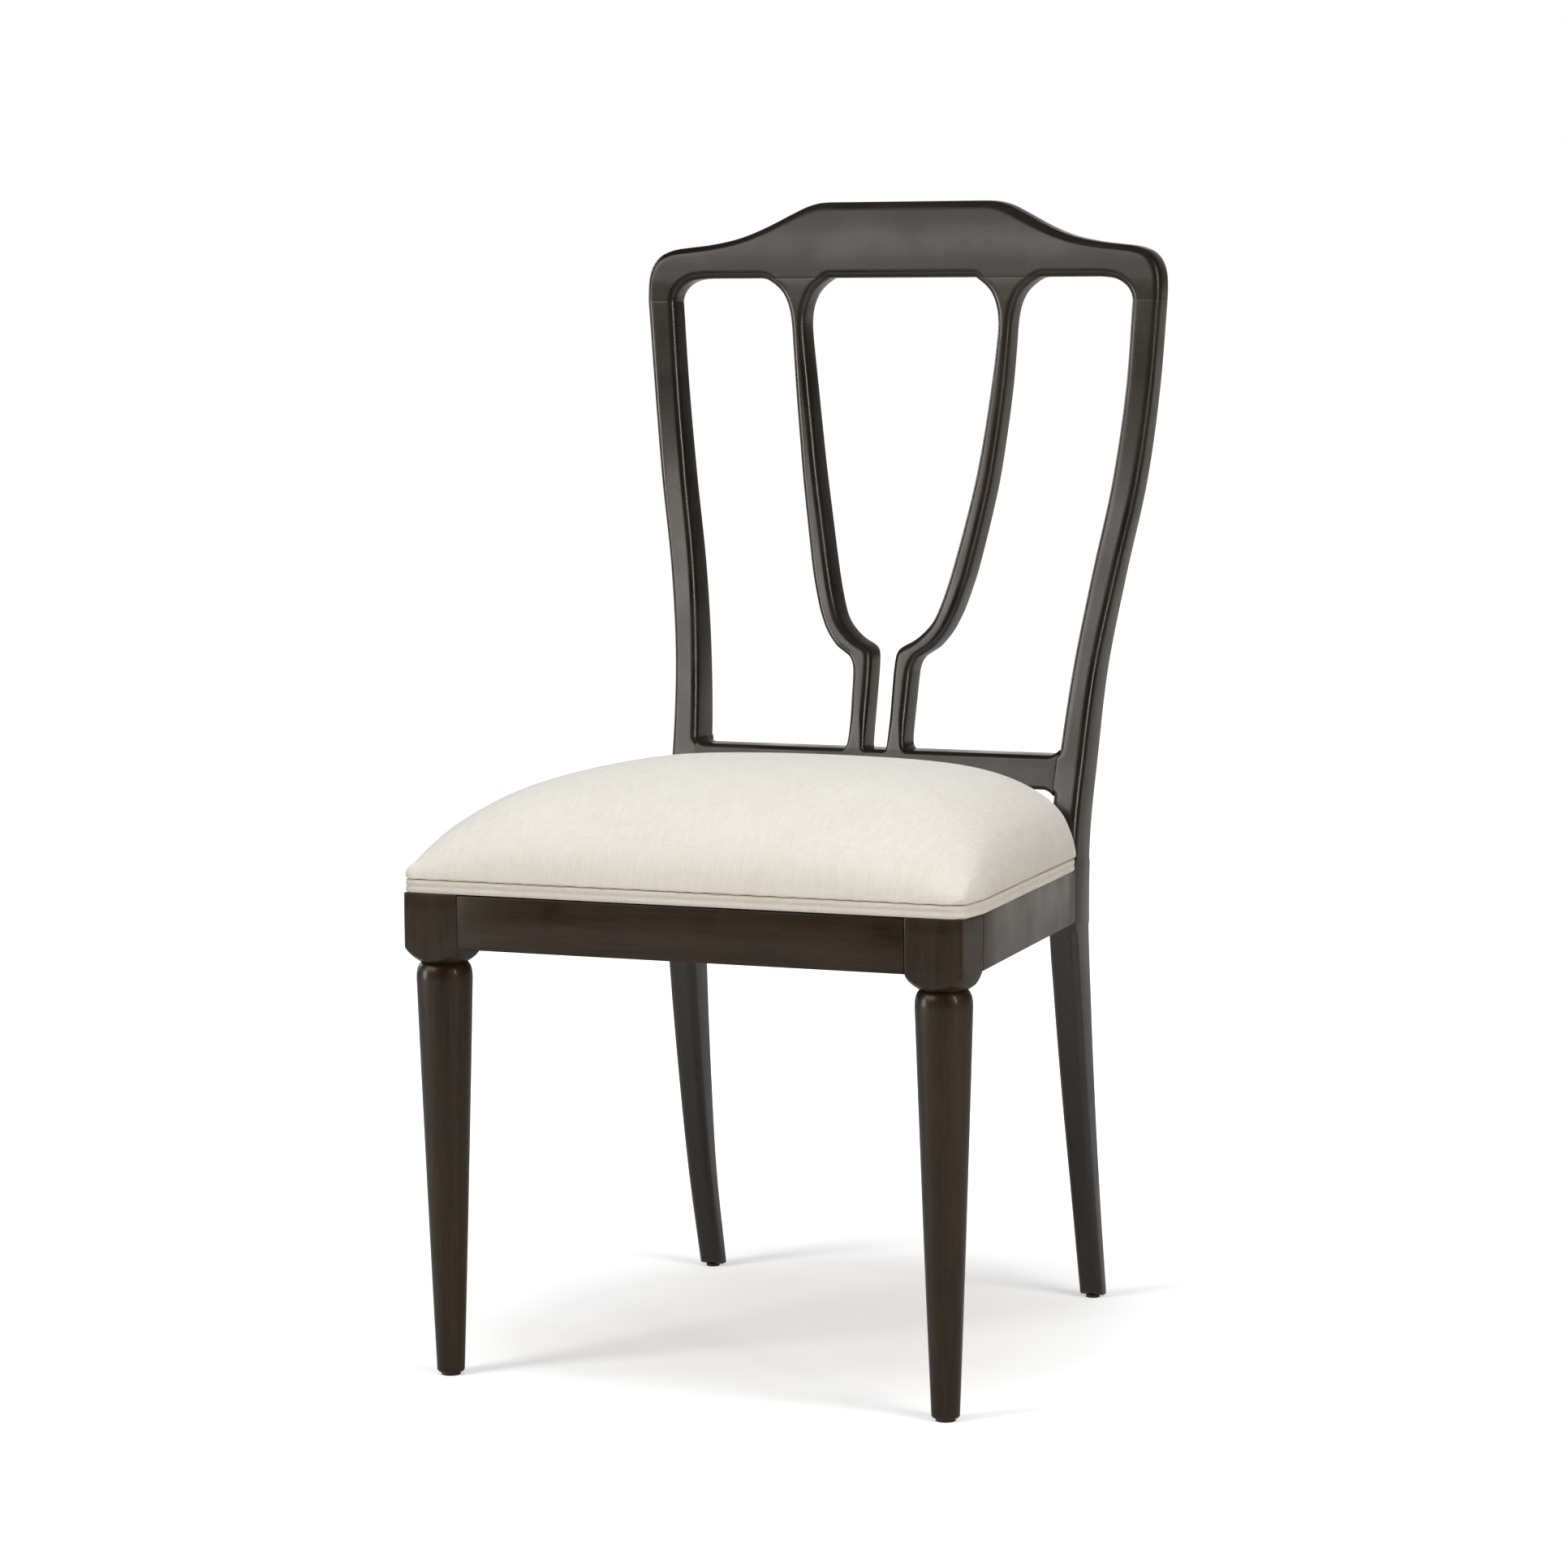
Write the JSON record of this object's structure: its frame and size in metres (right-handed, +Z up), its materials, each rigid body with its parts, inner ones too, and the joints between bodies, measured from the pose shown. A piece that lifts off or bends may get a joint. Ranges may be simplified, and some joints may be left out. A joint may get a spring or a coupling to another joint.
{
  "type": "dining chair",
  "caption": "Dark wood dining chair with turned tapered front legs, swept back posts, a shaped crest rail over lyre-shaped slats, and a crowned cream linen seat with a double welt.",
  "frame": {"origin": "middle of the floor area that the chair covers", "axes": "+Z up; the sitter faces -Y; +X is the right-hand side as seen from the front"},
  "size_m": [0.49, 0.5364, 0.965],
  "materials": {
    "dark_wood": "espresso stain under satin lacquer",
    "block_wood": "bare planed hardwood",
    "plywood": "bare plywood",
    "dowel_wood": "bare beech",
    "steel": "zinc plated",
    "glide": "moulded, matte",
    "linen": "plain linen weave",
    "foam": "open-cell foam",
    "dust_cloth": "thin non-woven cloth"
  },
  "bodies": {
    "root": {"back_post_left": "dark_wood", "back_post_right": "dark_wood", "back_slat_left": "dark_wood", "back_slat_right": "dark_wood", "corner_block_front_left": "block_wood", "corner_block_front_right": "block_wood", "corner_block_rear_left": "block_wood", "corner_block_rear_right": "block_wood", "crest_rail": "dark_wood", "dowel_crest_left": "dowel_wood", "dowel_crest_right": "dowel_wood", "dowel_front_lower_left": "dowel_wood", "dowel_front_lower_right": "dowel_wood", "dowel_front_upper_left": "dowel_wood", "dowel_front_upper_right": "dowel_wood", "dowel_rear_lower_left": "dowel_wood", "dowel_rear_lower_right": "dowel_wood", "dowel_rear_upper_left": "dowel_wood", "dowel_rear_upper_right": "dowel_wood", "dowel_side_back_lower_left": "dowel_wood", "dowel_side_back_lower_right": "dowel_wood", "dowel_side_back_upper_left": "dowel_wood", "dowel_side_back_upper_right": "dowel_wood", "dowel_side_front_lower_left": "dowel_wood", "dowel_side_front_lower_right": "dowel_wood", "dowel_side_front_upper_left": "dowel_wood", "dowel_side_front_upper_right": "dowel_wood", "dowel_slat_foot_left": "dowel_wood", "dowel_slat_foot_right": "dowel_wood", "dowel_slat_head_left": "dowel_wood", "dowel_slat_head_right": "dowel_wood", "dust_cover": "dust_cloth", "front_leg_left": "dark_wood", "front_leg_right": "dark_wood", "glide_front_left": "glide", "glide_front_right": "glide", "glide_rear_left": "glide", "glide_rear_right": "glide", "screw_front_rail_left": "steel", "screw_front_rail_right": "steel", "screw_front_seat_left": "steel", "screw_front_seat_right": "steel", "screw_front_side_left": "steel", "screw_front_side_right": "steel", "screw_rear_rail_left": "steel", "screw_rear_rail_right": "steel", "screw_rear_seat_left": "steel", "screw_rear_seat_right": "steel", "screw_rear_side_left": "steel", "screw_rear_side_right": "steel", "seat_board": "plywood", "seat_cover": "linen", "seat_foam": "foam", "seat_rail_front": "dark_wood", "seat_rail_left": "dark_wood", "seat_rail_rear": "dark_wood", "seat_rail_right": "dark_wood", "seat_welt_back": "linen", "seat_welt_front": "linen", "stay_rail": "dark_wood"}
  },
  "joints": []
}
